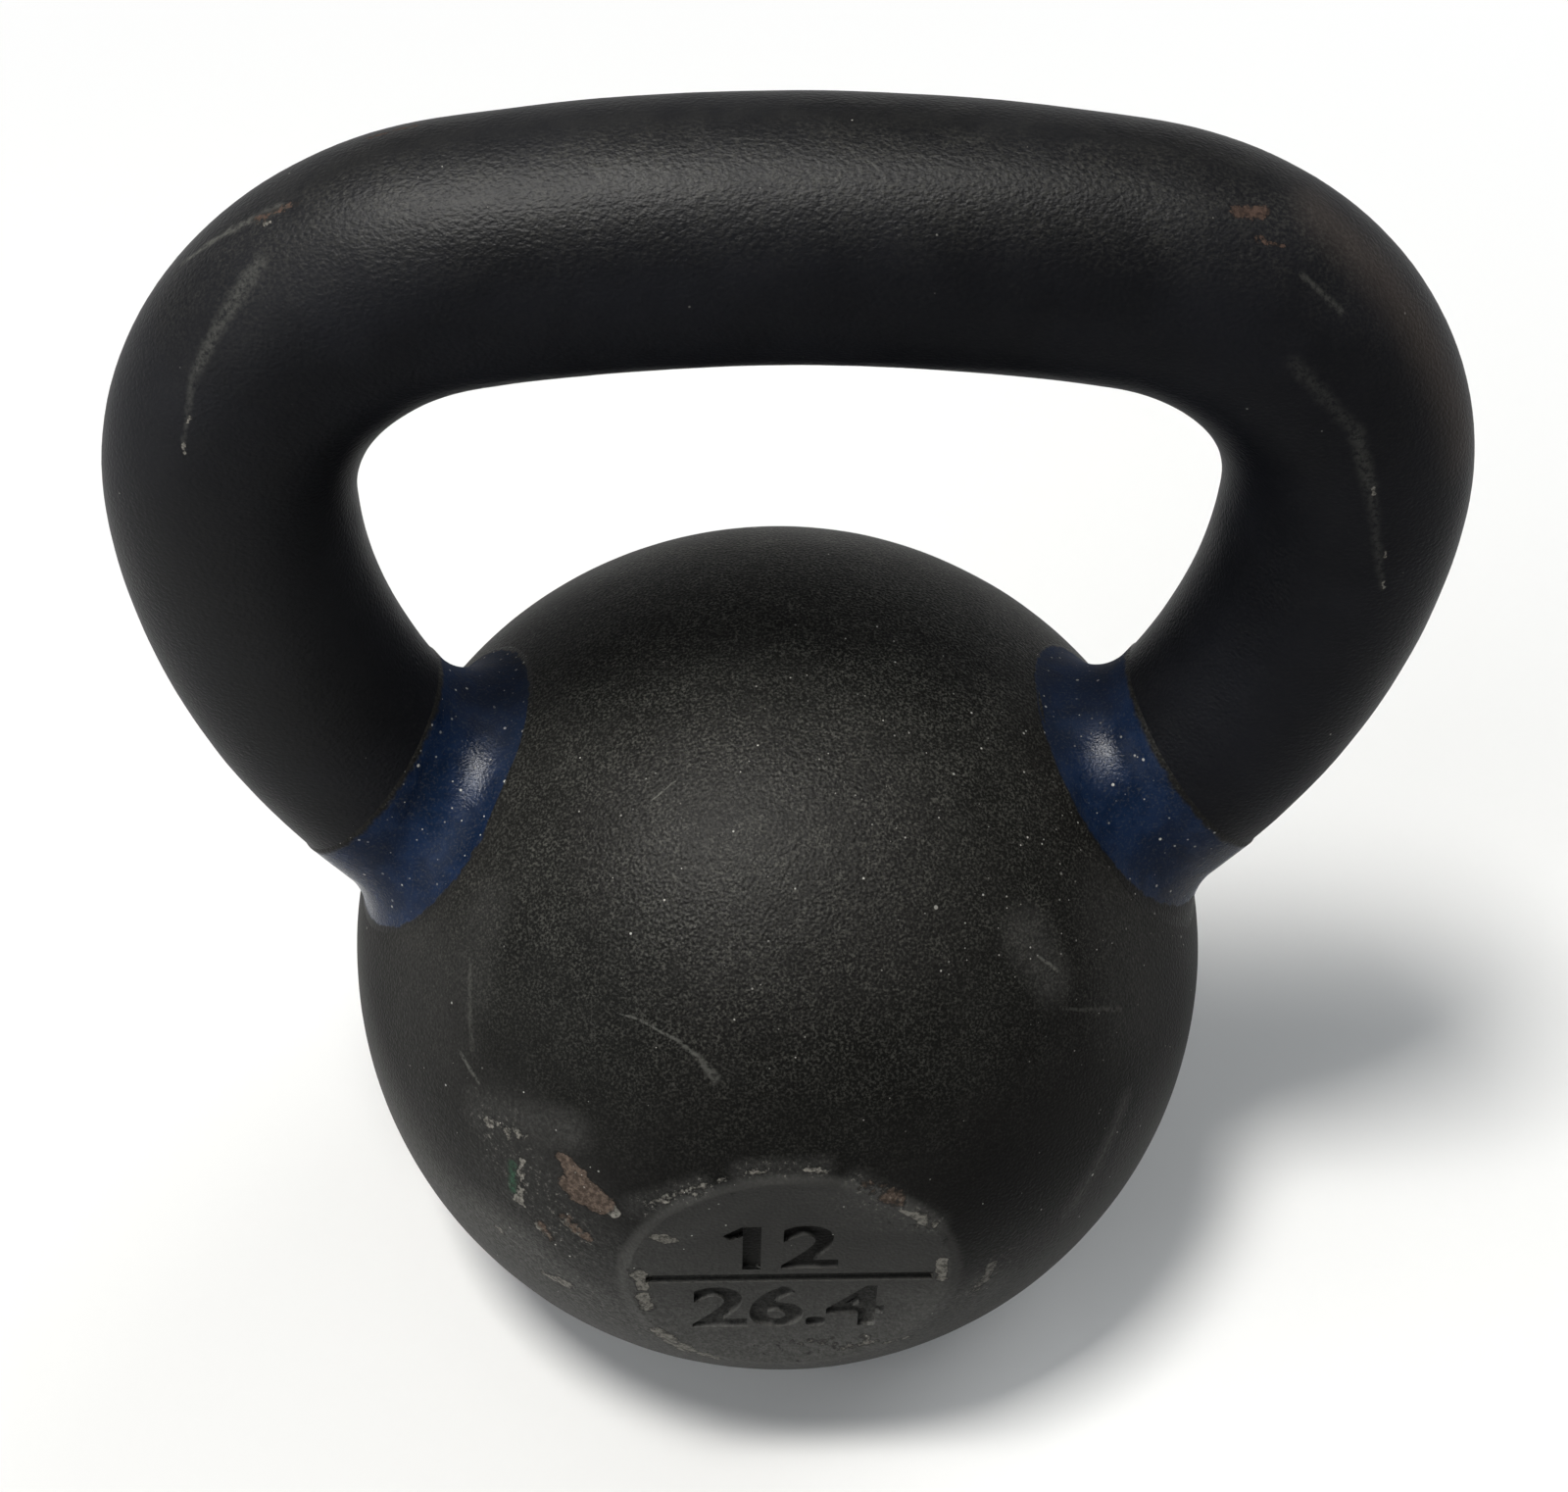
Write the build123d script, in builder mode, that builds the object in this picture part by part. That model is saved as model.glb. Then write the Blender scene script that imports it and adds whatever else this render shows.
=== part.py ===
"""Kettlebell of 12 kg: an iron ball, a bent bar handle rooted in it and two colour bands.

Millimetres. The origin is the centre of the flat base and +Z is up. The handle lies in the
XZ plane, and the flat for the weight mark faces -Y.
"""

import math
import os

from build123d import *

# Ball
ball_diameter = 138.7
ball_centre_height = 55.4
base_rim_round = 2.5
weight_flat_diameter = 49.0
weight_flat_rim_round = 1.0

# Handle: the bar, its outer width, the gap over the ball and the bends of its centreline
bar_diameter = 34.5
handle_width = 189.7
window_height = 54.8
grip_bow_radius = 243.5
corner_bend_radius = 41.8
horn_bend_radius = 91.8
root_depth = 24.0

# Colour bands: painted collars with a flare in the corner between horn and ball
band_thickness = 0.6
band_foot_diameter = 47.5
band_height = 12.7
band_flare_radius = 9.0
band_aim_height = 15.5

# Ball and grip
ball_radius = ball_diameter / 2
ball_centre = Vector(0, 0, ball_centre_height)
weight_flat_offset = math.sqrt(ball_radius**2 - (weight_flat_diameter / 2) ** 2)
weight_flat_plane = Plane(ball_centre - Vector(0, weight_flat_offset, 0), z_dir=(0, -1, 0))
bar_radius = bar_diameter / 2
grip_height = ball_centre_height + ball_radius + window_height + bar_radius

# Bends of the right half of the bar: the bowed grip, a corner that ends straight down, the horn
bar_half_width = handle_width / 2 - bar_radius
corner_centre_reach = grip_bow_radius - corner_bend_radius
grip_turn = math.degrees(math.asin((bar_half_width - corner_bend_radius) / corner_centre_reach))
corner_turn = 90 - grip_turn
corner_centre_height = (
    grip_height - grip_bow_radius + corner_centre_reach * math.cos(math.radians(grip_turn))
)
horn_bend_centre = Vector(bar_half_width - horn_bend_radius, 0, corner_centre_height)


def horn_turn_at(distance):
    """Degrees the horn has turned where its centreline is this far from the ball's centre."""
    offset = horn_bend_centre - ball_centre
    bearing = math.degrees(math.atan2(offset.Z, offset.X))
    square_difference = distance**2 - offset.length**2 - horn_bend_radius**2
    opening = math.acos(square_difference / (2 * offset.length * horn_bend_radius))
    return math.degrees(opening) - bearing


def horn_point_at(distance):
    """Point of the right horn's centreline that is this far from the ball's centre."""
    turn = math.radians(horn_turn_at(distance))
    return horn_bend_centre + Vector(math.cos(turn), 0, -math.sin(turn)) * horn_bend_radius


root_turn = horn_turn_at(ball_radius - root_depth)

# Bands: the axis runs from the ball's centre to a point on the horn above the ball
band_axis = (horn_point_at(ball_radius + band_aim_height) - ball_centre).normalized()
band_foot_angle = math.asin(band_foot_diameter / ball_diameter)
band_top_offset = ball_radius * math.cos(band_foot_angle) + band_height
band_top_radius = band_top_offset * math.tan(band_foot_angle)

os.makedirs("parts", exist_ok=True)

# Handle: one round bar, swept along the right half of its centreline and mirrored
with BuildPart() as handle:
    with BuildLine(Plane.XZ):
        grip = JernArc((0, grip_height), (1, 0), grip_bow_radius, -grip_turn)
        corner = JernArc(grip @ 1, grip % 1, corner_bend_radius, -corner_turn)
        horn = JernArc(corner @ 1, corner % 1, horn_bend_radius, -root_turn)
    with BuildSketch(Plane(grip @ 0, z_dir=grip % 0)):
        Circle(bar_radius)
    sweep()
    mirror(about=Plane.YZ)
handle.part.label = "handle"
export_step(handle.part, "parts/handle.step")

# Ball: flat base, flat for the weight mark, and a socket around each horn root
with BuildPart() as ball:
    with Locations(ball_centre):
        Sphere(ball_radius, rotation=(0, 0, 90))
    split(bisect_by=Plane.XY, keep=Keep.TOP)
    split(bisect_by=weight_flat_plane, keep=Keep.BOTTOM)
    fillet(ball.edges().filter_by(GeomType.CIRCLE).sort_by(Axis.Y)[0], weight_flat_rim_round)
    fillet(ball.edges().filter_by(GeomType.CIRCLE).sort_by(Axis.Z)[0], base_rim_round)
    add(handle.part, mode=Mode.SUBTRACT)
ball.part.label = "ball"
export_step(ball.part, "parts/ball.step")

# Right colour band: a skin over ball and horn with the flare between them, trimmed by a cone
# from the ball's centre, so that its foot is square to the ball and its top is flat
with BuildPart() as right_band:
    with Locations(ball_centre):
        Sphere(ball_radius + band_thickness, rotation=(0, 0, 90))
    with BuildSketch(Plane(horn @ 0, z_dir=horn % 0)):
        Circle(bar_radius + band_thickness)
    sweep(path=horn)
    fillet(right_band.edges(Select.NEW), band_flare_radius)
    with Locations(Plane(ball_centre, z_dir=band_axis)):
        Cone(
            bottom_radius=0,
            top_radius=band_top_radius,
            height=band_top_offset,
            align=(Align.CENTER, Align.CENTER, Align.MIN),
            mode=Mode.INTERSECT,
        )
    add(ball.part, mode=Mode.SUBTRACT)
    add(handle.part, mode=Mode.SUBTRACT)
right_band.part.label = "right_colour_band"
export_step(right_band.part, "parts/right_colour_band.step")

# Left colour band: the right one mirrored
with BuildPart() as left_band:
    mirror(right_band.part, about=Plane.YZ)
left_band.part.label = "left_colour_band"
export_step(left_band.part, "parts/left_colour_band.step")
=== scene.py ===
"""Kettlebell: the looks of its ball, bar handle and colour bands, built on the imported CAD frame.

Metres, in the frame of the CAD part: the origin is the centre of the flat base, +Z is up, the
handle lies in the XZ plane and the flat with the weight mark faces -Y.
"""

import math
from contextlib import contextmanager

import bmesh
import bpy
import numpy
from mathutils import Matrix, Vector


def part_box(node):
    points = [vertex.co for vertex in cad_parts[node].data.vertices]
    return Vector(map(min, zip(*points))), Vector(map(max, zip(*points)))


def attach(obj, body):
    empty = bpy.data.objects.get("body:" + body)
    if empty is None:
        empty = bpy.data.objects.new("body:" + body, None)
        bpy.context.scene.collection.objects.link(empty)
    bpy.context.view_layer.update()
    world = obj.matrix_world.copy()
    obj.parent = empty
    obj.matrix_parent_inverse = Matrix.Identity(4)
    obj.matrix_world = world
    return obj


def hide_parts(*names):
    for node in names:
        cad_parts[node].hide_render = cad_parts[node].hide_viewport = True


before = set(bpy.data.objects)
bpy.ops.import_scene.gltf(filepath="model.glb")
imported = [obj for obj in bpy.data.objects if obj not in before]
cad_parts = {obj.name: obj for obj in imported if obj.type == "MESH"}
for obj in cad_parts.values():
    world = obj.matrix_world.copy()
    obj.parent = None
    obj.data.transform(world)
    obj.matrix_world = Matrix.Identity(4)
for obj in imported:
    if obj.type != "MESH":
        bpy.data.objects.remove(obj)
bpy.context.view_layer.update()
ball_low, ball_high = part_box("ball")
handle_low, handle_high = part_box("handle")

bl_info = {
    "name": "Kettlebell",
    "version": (1, 0, 0),
    "blender": (4, 5, 0),
    "location": "View3D > Sidebar > Kettlebell",
    "description": "Models a coated iron kettlebell with colour bands on its CAD frame",
    "category": "Add Mesh",
}

BODY = "root"

# How finely the pieces are divided, and how close their vertices are merged
BALL_SEGMENTS = 320
BALL_RINGS = 224
RIM_STEPS = 6
BAR_SIDES = 112
GRIP_STEPS = 22
CORNER_STEPS = 36
HORN_STEPS = 52
BAND_SIDES = 144
FLARE_CUTS = 22
FINE_GAP = 1e-7
MERGE_GAP = 1e-6
SMOOTH_ANGLE = math.radians(38)

# Lengths of the casting's waves in metres, and the strip inside a flat's rim as a share of its round
BALL_WAVE_LENGTH = 0.022
HANDLE_WAVE_LENGTH = 0.018
FLAT_INSET = 0.7

# Weight mark: sizes as shares of the numbers' height, and the flag's depth as a share of the mark's
NUMBER_SIZE = 1.4
NUMBER_OFFSET = 0.022
NUMBER_WIDENING = 1.16
NUMBER_CURVE_STEPS = 5
FLAG_SLOPE = math.radians(38)
FLAG_SPAN = 0.36
FLAG_WIDTH = 0.17
FLAG_SHIFT = 0.08
FLAG_DEPTH = 1.96

# Colour band: the third ring after its lip is the corner, and the flare takes up this percentage of
# its sides. Sinks and the probe's depth are in metres, turns and runs in radians, and the margin of
# the edge is a share of the lip's
CORNER_RING = 3
FLARE_SHARE = 99.0
LIP_SINK = 0.0004
FOOT_SINK = 0.0006
CORE_SINK = 0.0008
PROBE_DEPTH = 0.001
LEAST_NECK_TURN = 0.006
FOOT_RUN = 0.02
CORE_RUN = 0.06
EDGE_MARGIN = 0.3

# Wear marks: the name of their node group, millimetres in a metre, the depths in metres off the
# surface between which marks fade out, and the share of a scuff's width that is fully covered
WEAR_MARK = "wear_mark"
MILLIMETRES = 1000
MARK_REACH = (0.014, 0.010)
SCUFF_EDGE = 0.1

# Noises of the finishes: waves a metre, detail and roughness
BALL_CLOUDS = (30.0, 3.0, 0.6)
BALL_MOTTLE = (190.0, 2.0, 0.65)
BALL_SAND = (2000.0, 0.5, 0.5)
HANDLE_CLOUDS = (34.0, 3.0, 0.6)
HANDLE_MOTTLE = (210.0, 2.0, 0.65)
HANDLE_PEEL = (1900.0, 1.0, 0.5)
ENAMEL_PEEL = (2000.0, 2.0, 0.6)
GRAIN = (2500.0, 2.0, 0.62)
COAT_BREAKS = (1300.0, 3.0, 0.75)
CHIP_EDGES = (520.0, 3.0, 0.62)
WEAR_WAVER = (420.0, 2.0, 0.6)
PAINT_WAVER = (520.0, 2.0, 0.6)
NOISE_MIDDLE = 0.5

# Heights of the finishes' relief, and how far outlines waver, in metres
SAND_HEIGHT = 0.00014
PEEL_HEIGHT = 0.00012
GRAIN_HEIGHT = 0.00004
ENAMEL_HEIGHT = 0.00010
BALL_WAVER = 0.0009
HANDLE_WAVER = 0.0012
PAINT_EDGE_WAVER = 0.0016

# Roughness of the finishes and of what lies on them, and the finishes' specular levels
BALL_ROUGHNESS = (0.44, 0.52)
HANDLE_ROUGHNESS = (0.42, 0.50)
ENAMEL_ROUGHNESS = (0.20, 0.30)
ENAMEL_DULLING = 0.5
FILM_ROUGHNESS = 0.66
FLAT_FILM_ROUGHNESS = 0.60
SCUFF_ROUGHNESS = 0.62
PATINA_ROUGHNESS = 0.70
FLECK_ROUGHNESS = 0.70
RUST_ROUGHNESS = 0.75
HAZE_ROUGHNESS = 0.60
BALL_CHIP_ROUGHNESS = 0.55
HANDLE_CHIP_ROUGHNESS = 0.5
DUST_ROUGHNESS = 0.8
BALL_SPECULAR = 0.027
HANDLE_SPECULAR = 0.040
ENAMEL_SPECULAR = 0.050

# Chips: how ragged they are, and the painted shade round them that stands in for their depth
CHIP_RAGGEDNESS = 1.6
CHIP_EDGE_PAINTED_SHADE = (0.005, 0.005, 0.005)
CHIP_EDGE_SHADE_COVER = 0.6

# Cover of the dust film on the ball (on its lower side also a painted floor reflection) and on its
# front flat, and where it fades out behind the flat
FILM_COVER = (0.20, 0.56)
FLAT_FILM_COVER = 0.18
FLAT_FILM_DEPTH = 0.0003
FLAT_FILM_FADE = 0.0006

# Pale dust in the ball's grain, more of it higher up, where it also paints the light from above:
# heights off its centre as shares of its radius, the least share, and how much of it the bands'
# strips of coat hold
DUST_AND_LIGHT_FROM = 0.15
DUST_AND_LIGHT_TO = 0.95
DUST_AND_LIGHT_LEAST = 0.08
BAND_DUST_AND_LIGHT = 0.4

# Wear all round the front flat's rim, and dust on the ball's lower side, which also paints the pale
# floor's reflection along its lower edges: strengths and extents
RIM_CHIPS = 0.22
RIM_DUST = 0.08
RIM_WEAR_WIDTH = 0.0016
RIM_WEAR_REACH = 1.4
MARK_CLEAR_RADIUS = 0.0225
LOW_DUST_AND_FLOOR_LIGHT = 0.90
LOW_DUST_AND_FLOOR_LIGHT_TOP = 0.22
LOW_DUST_AND_FLOOR_LIGHT_FADE = 0.64

# Dust on the handle, whose pale flecks on top and where it faces the front also paint its sheen:
# shares on its sides and on top, the even share where it doesn't face the front, the film on the
# left horn, which also paints light falling from the left, the heights and the places across between
# which that film fades, and how the orange peel is scaled by axis, which draws it out along the grip
UPPER_DUST_AND_SHEEN = (0.07, 0.55)
EVEN_DUST = 0.22
LEFT_HORN_DUST_AND_LIGHT = (0.008, 0.080)
LEFT_HORN_HEIGHTS = (0.185, 0.140)
LEFT_HORN_SIDE = (-0.050, -0.075)
PEEL_DRAW = (0.75, 1.0, 1.0)

# Dust specks: cells a metre, size as a share of a cell, and share of the cells that hold one. On
# the ball that is the share added where specks are strewn, and the share all over
BALL_SPECK_KINDS = ((820.0, 0.13, 0.34, 0.03), (260.0, 0.075, 0.30, 0.06))
HANDLE_SPECK_KINDS = ((700.0, 0.11, 0.03), (260.0, 0.050, 0.03))
ENAMEL_SPECK_KINDS = ((700.0, 0.15, 0.60), (330.0, 0.085, 0.30))

# Paint edges: softness at the lip in metres and at the foot as a cosine, and dust on the paint
LIP_SOFTNESS = (0.0004, -0.0005)
FOOT_SOFTNESS = 0.001
PAINT_DUST = 0.30

# Stage: the floor and where its shadow fades to white in metres, the world's light from the horizon
# up, as it lights and as it is mirrored, the camera's nearest sight, and the lamps' tints
FLOOR_WIDTH = 12.0
FLOOR_DROP = 0.00005
SHADOW_FADE = (0.16, 0.60)
WHITE = (1, 1, 1, 1)
SKY_TINT = (0.90, 0.96, 1.0, 1)
SKY_LIGHT = (0.09, 0.22)
MIRRORED_LIGHT = (1.0, 0.10)
NEAREST_SIGHT = 0.01
WARM = (1.0, 0.98, 0.94)
COOL = (0.97, 0.99, 1.0)

# Soft lamps: name, direction from the ball, distance, width and depth in metres, watts, tint, and
# the visibility that is switched off
LAMPS = (
    ("key", (-0.25, -0.15, 0.95), 1.9, 0.42, 0.42, 36.0, WARM, None),
    ("left_fill", (-0.80, -0.50, 0.30), 1.2, 0.9, 0.9, 9.0, COOL, None),
    ("back_fill", (0.70, 0.60, 0.40), 1.5, 1.0, 1.0, 13.0, COOL, "visible_glossy"),
    ("left_sheen", (-0.36, -0.16, 0.92), 1.9, 1.4, 0.5, 145.0, WARM, "visible_diffuse"),
    ("right_sheen", (0.08, -0.16, 0.98), 1.9, 1.0, 0.5, 70.0, WARM, "visible_diffuse"),
)

# The photograph's picture width, for the lens
PHOTO_WIDTH = 1600
SENSOR_WIDTH = 36.0


def length(name, description, default):
    """A length in metres that a user may change."""
    return bpy.props.FloatProperty(
        name=name, description=description, default=default, min=0.0, precision=5, unit="LENGTH"
    )


def angle(name, description, degrees):
    """An angle that a user may change."""
    return bpy.props.FloatProperty(
        name=name, description=description, default=math.radians(degrees), subtype="ANGLE"
    )


def colour(name, description, default):
    """A colour that a user may change, as linear values."""
    return bpy.props.FloatVectorProperty(
        name=name, description=description, default=default, min=0.0, max=1.0, subtype="COLOR"
    )


class KettlebellSizes(bpy.types.PropertyGroup):
    """Sizes of the kettlebell's pieces, the first ones read from the CAD frame"""

    ball_radius: length("Ball radius", "Radius of the ball", ball_high.x)
    ball_centre_height: length(
        "Ball centre height", "Height of the ball's centre", ball_high.z - ball_high.x
    )
    base_rim_round: length("Base rim round", "Round at the rim of the flat base", 0.0025)
    mark_flat_offset: length(
        "Mark flat offset", "Distance of the front flat from the ball's centre", -ball_low.y
    )
    mark_flat_rim_round: length("Mark flat rim round", "Round at the rim of the front flat", 0.001)
    mark_depth: length("Mark depth", "Depth of the recessed numbers and of the bar", 0.0009)
    mark_bar_length: length("Mark bar length", "Length of the bar between the numbers", 0.0430)
    mark_bar_width: length("Mark bar width", "Width of the bar between the numbers", 0.0021)
    number_height: length("Number height", "Height of the recessed numbers", 0.0108)
    number_boldness: length("Number boldness", "Growth of the numbers' strokes", 0.00025)
    number_rise: length("Number rise", "Height of the numbers' middles off the bar", 0.0080)
    bar_radius: length("Bar radius", "Radius of the handle's round bar", 0.01725)
    handle_width: length("Handle width", "Width over the handle", handle_high.x - handle_low.x)
    handle_top: length("Handle top", "Height of the top of the grip", handle_high.z)
    grip_bow_radius: length("Grip bow radius", "Bend of the grip's centreline", 0.2435)
    corner_bend_radius: length("Corner bend radius", "Bend of the corners' centreline", 0.0418)
    horn_bend_radius: length("Horn bend radius", "Bend of the horns' centreline", 0.0918)
    root_depth: length("Root depth", "Depth of the horn roots in the ball", 0.024)
    flare_radius: length("Flare radius", "Hollow round between a horn and the ball", 0.009)
    lip_elevation: angle("Lip elevation", "Way that the bands' upper lips face, above level", 40.0)
    lip_distance: length("Lip distance", "Distance of the lips from the ball's centre", 0.0784)
    left_foot_elevation: angle("Left foot elevation", "Middle of the left paint on the ball", 36.2)
    left_foot_spread: angle("Left foot spread", "Half the width of the left paint", 19.8)
    right_foot_elevation: angle(
        "Right foot elevation", "Middle of the right paint on the ball", 37.9
    )
    right_foot_spread: angle("Right foot spread", "Half the width of the right paint", 18.9)
    enamel_thickness: length("Enamel thickness", "Thickness of the paint on the horn", 0.00012)
    lip_margin: length("Lip margin", "Coated strip over the paint's upper edge", 0.0014)
    casting_waves: length("Casting waves", "Depth of the casting's slow unevenness", 0.00022)


class KettlebellColours(bpy.types.PropertyGroup):
    """Colours of the kettlebell's finishes and of the floor"""

    ball_coat: colour("Ball coat", "Powder coat of the ball", (0.0066, 0.0064, 0.0060))
    handle_coat: colour("Handle coat", "Powder coat of the handle", (0.0050, 0.0053, 0.0069))
    enamel: colour("Enamel", "Paint of the colour bands", (0.0046, 0.0116, 0.0320))
    dust: colour("Dust", "Pale dust specks and chalk", (0.420, 0.410, 0.380))
    # Haze: dust in the grain; on the ball's upper side and the handle's front its flecks also paint
    # sheen
    haze: colour("Haze", "Old dust in the grain of the coat", (0.066, 0.0648, 0.0565))
    # Film: dust, which on the ball's lower side and edges and on the left horn also paints light
    film: colour("Film", "Film of dust on the ball's lower side", (0.150, 0.148, 0.139))
    scuff: colour("Scuff", "Grey rubbed lines in the coat", (0.095, 0.095, 0.085))
    bare_iron: colour("Bare iron", "Iron in fresh chips", (0.190, 0.180, 0.158))
    rust: colour("Rust", "Iron in old chips of the ball", (0.108, 0.081, 0.064))
    handle_rust: colour("Handle rust", "Iron in old chips of the handle", (0.066, 0.041, 0.031))
    patina: colour("Patina", "Green tint beside an old chip", (0.030, 0.075, 0.045))
    floor: colour("Floor", "Pale floor as it is seen", (0.74, 0.74, 0.74))
    floor_bounce: colour("Floor bounce", "Pale floor as it lights the object", (0.36, 0.36, 0.36))


class KettlebellView(bpy.types.PropertyGroup):
    """Camera of the photograph"""

    distance: length("Distance", "Distance of the camera from the ball's centre", 0.42848)
    elevation: angle("Elevation", "Height of the camera over the ball's centre", 50.2)
    bearing: angle("Bearing", "Turn of the camera from the front towards -X", 3.07)
    pitch: angle("Pitch", "Angle that the camera looks down", 45.81)
    roll: angle("Roll", "Tilt of the camera about its own axis", 1.88)
    focal_pixels: bpy.props.FloatProperty(
        name="Focal pixels", description="Focal length in the photograph's pixels", default=2612.1
    )


class BarLine:
    """Centreline of the handle's bar: a bowed grip, and a corner and a horn on each side."""

    def __init__(self, sizes):
        self.radius = sizes.bar_radius
        self.ball_centre = Vector((0, 0, sizes.ball_centre_height))
        self.height = sizes.handle_top - sizes.bar_radius
        half_width = sizes.handle_width / 2 - sizes.bar_radius
        reach = sizes.grip_bow_radius - sizes.corner_bend_radius
        grip_turn = math.asin((half_width - sizes.corner_bend_radius) / reach)
        grip_centre = Vector((0, 0, self.height - sizes.grip_bow_radius))
        corner_way = Vector((math.sin(grip_turn), 0, math.cos(grip_turn)))
        corner_centre = grip_centre + reach * corner_way
        corner_turn = math.pi / 2 - grip_turn
        self.horn_radius = sizes.horn_bend_radius
        self.horn_centre = Vector((half_width - self.horn_radius, 0, corner_centre.z))
        root_turn = self.skin_turn_on_ball(0.0, 0.0, sizes.ball_radius - sizes.root_depth)
        self.bends = (
            (grip_centre, sizes.grip_bow_radius, 0.0, grip_turn, GRIP_STEPS),
            (corner_centre, sizes.corner_bend_radius, grip_turn, corner_turn, CORNER_STEPS),
            (self.horn_centre, self.horn_radius, math.pi / 2, root_turn, HORN_STEPS),
        )

    def skin_reach(self, skin, round_turn):
        """Bend radius of a line along the right horn's skin, and its distance from the XZ plane."""
        return self.horn_radius + skin * math.cos(round_turn), skin * math.sin(round_turn)

    def skin_point(self, skin, round_turn, turn):
        """Point of a line along the right horn's skin after this turn."""
        reach, aside = self.skin_reach(skin, round_turn)
        return self.horn_centre + Vector((reach * math.cos(turn), aside, -reach * math.sin(turn)))

    def skin_turn_on_ball(self, skin, round_turn, radius):
        """Turn at which a line along the right horn's skin is this far from the ball's centre."""
        reach, aside = self.skin_reach(skin, round_turn)
        offset = self.horn_centre - self.ball_centre
        bearing = math.atan2(offset.z, offset.x)
        rest = radius**2 - aside**2 - offset.length_squared - reach**2
        return math.acos(rest / (2 * offset.length * reach)) - bearing

    def skin_turn_on_plane(self, skin, round_turn, elevation, distance):
        """Turn at which a line along the right horn's skin crosses a plane off the ball."""
        reach, _ = self.skin_reach(skin, round_turn)
        offset = self.horn_centre - self.ball_centre
        rest = distance - offset.dot(direction_at(elevation))
        return math.acos(rest / reach) - elevation

    def frame_at(self, along):
        """Centre and outward normal of the bar at a distance from the grip's middle."""
        side = math.copysign(1.0, along)
        left = abs(along)
        for centre, radius, start, turn, _ in self.bends:
            if left <= radius * turn:
                break
            left -= radius * turn
        here = start + left / radius
        outward = Vector((side * math.sin(here), 0, math.cos(here)))
        return Vector((side * centre.x, 0, centre.z)) + radius * outward, outward


def direction_at(elevation):
    """Unit direction in the XZ plane, this far above +X."""
    return Vector((math.cos(elevation), 0, math.sin(elevation)))


def pick(piece):
    """Selects one piece alone and makes it the active one."""
    bpy.ops.object.select_all(action="DESELECT")
    piece.select_set(True)
    bpy.context.view_layer.objects.active = piece


def settle():
    """Moves the place, turn and scale of what is selected into its mesh."""
    bpy.ops.object.transform_apply(location=True, rotation=True, scale=True)


def extent(piece):
    """Lowest and highest corner of a piece's own box."""
    corners = [Vector(corner) for corner in piece.bound_box]
    low = Vector(min(corner[axis] for corner in corners) for axis in range(3))
    high = Vector(max(corner[axis] for corner in corners) for axis in range(3))
    return low, high


@contextmanager
def editing(piece):
    """Edit mode on one piece, with nothing else selected."""
    pick(piece)
    bpy.ops.object.mode_set(mode="EDIT")
    bpy.ops.mesh.select_mode(type="VERT")
    yield
    bpy.ops.object.mode_set(mode="OBJECT")


def apply_modifier(piece, name, kind, **settings):
    """Adds a modifier to a piece and applies it."""
    pick(piece)
    modifier = piece.modifiers.new(name, kind)
    for key, value in settings.items():
        setattr(modifier, key, value)
    bpy.ops.object.modifier_apply(modifier=modifier.name)


def combine(piece, other, operation):
    """Joins another solid to a piece, or cuts it away."""
    settings = {"object": other, "operation": operation, "solver": "MANIFOLD"}
    apply_modifier(piece, "Combine", "BOOLEAN", **settings)


def roughen(piece, depth, wave_length):
    """Slow unevenness of a sand casting, always inwards, so that the piece keeps its size."""
    waves = bpy.data.textures.new("casting_waves", "CLOUDS")
    waves.noise_scale = wave_length
    waves.noise_depth = 2
    settings = {"texture": waves, "texture_coords": "LOCAL", "mid_level": 1.0, "strength": depth}
    apply_modifier(piece, "Casting", "DISPLACE", **settings)


def finish_piece(piece, node, material):
    """Turns a piece's faces outwards, shades it, coats it and hangs it on the CAD body."""
    with editing(piece):
        bpy.ops.mesh.select_all(action="SELECT")
        bpy.ops.mesh.normals_make_consistent(inside=False)
    bpy.ops.object.shade_smooth_by_angle(angle=SMOOTH_ANGLE)
    apply_modifier(piece, "Shading", "WEIGHTED_NORMAL", keep_sharp=True)
    piece.data.materials.clear()
    piece.data.materials.append(material)
    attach(piece, BODY)
    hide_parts(node)


def cut_flat(centre, radius, outward, offset, rim_round):
    """In edit mode, cuts a flat into the ball and rolls its rim over with a small round."""
    fall = offset - rim_round
    ring = math.sqrt((radius - rim_round) ** 2 - fall**2)
    lean = math.atan2(ring, fall)
    across = Vector((1, 1, 1)) - Vector(abs(part) for part in outward)
    old_ring = radius * math.sin(lean)
    old_offset = radius * math.cos(lean)
    bpy.ops.mesh.select_all(action="SELECT")
    bpy.ops.mesh.bisect(
        plane_co=centre + outward * radius * math.cos(lean),
        plane_no=outward,
        clear_outer=True,
        threshold=FINE_GAP,
    )
    for step in range(1, RIM_STEPS + 1):
        turn = lean * (1 - step / RIM_STEPS)
        new_ring = ring + rim_round * math.sin(turn)
        new_offset = fall + rim_round * math.cos(turn)
        move = outward * (new_offset - old_offset)
        bpy.ops.mesh.extrude_edges_move(TRANSFORM_OT_translate={"value": move})
        bpy.ops.transform.resize(
            value=Vector((1, 1, 1)) + across * (new_ring / old_ring - 1),
            center_override=centre + outward * new_offset,
        )
        old_ring = new_ring
        old_offset = new_offset
    bpy.ops.mesh.edge_face_add()
    bpy.ops.mesh.inset(thickness=FLAT_INSET * rim_round, depth=0)


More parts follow.
